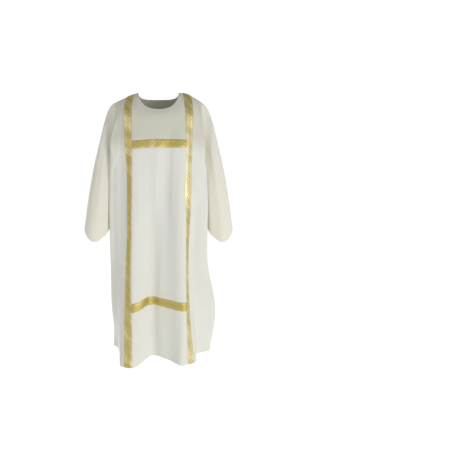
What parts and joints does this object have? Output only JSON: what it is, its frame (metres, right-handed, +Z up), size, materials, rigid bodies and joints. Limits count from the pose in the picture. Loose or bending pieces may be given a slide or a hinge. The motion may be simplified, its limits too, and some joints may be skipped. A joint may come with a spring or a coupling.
{
  "type": "dalmatic",
  "caption": "Cream wide-sleeved liturgical tunic with gold clavi and cross bands, hanging from the shoulders in its worn, hollow form.",
  "frame": {"origin": "midway between the two neck points, at the height where the shoulders carry the cloth", "axes": "+Z up along the garment's length, -Y out of its front, +X towards the wearer's left"},
  "size_m": [0.704, 0.3422, 1.2472],
  "materials": {
    "cream_cloth": "matt cream crepe-weave cloth with a faint sheen",
    "gold_band": "woven galloon of metallic gold thread",
    "facing_cloth": "matt cream cloth, the same as the garment"
  },
  "bodies": {
    "root": {"front_panel": "cream_cloth", "back_panel": "cream_cloth", "sleeve_right": "cream_cloth", "sleeve_left": "cream_cloth", "clavus_right": "gold_band", "clavus_left": "gold_band", "cross_band_front_chest": "gold_band", "cross_band_front_knee": "gold_band", "cross_band_back_chest": "gold_band", "neck_facing_front": "facing_cloth", "neck_facing_back": "facing_cloth"}
  },
  "joints": []
}
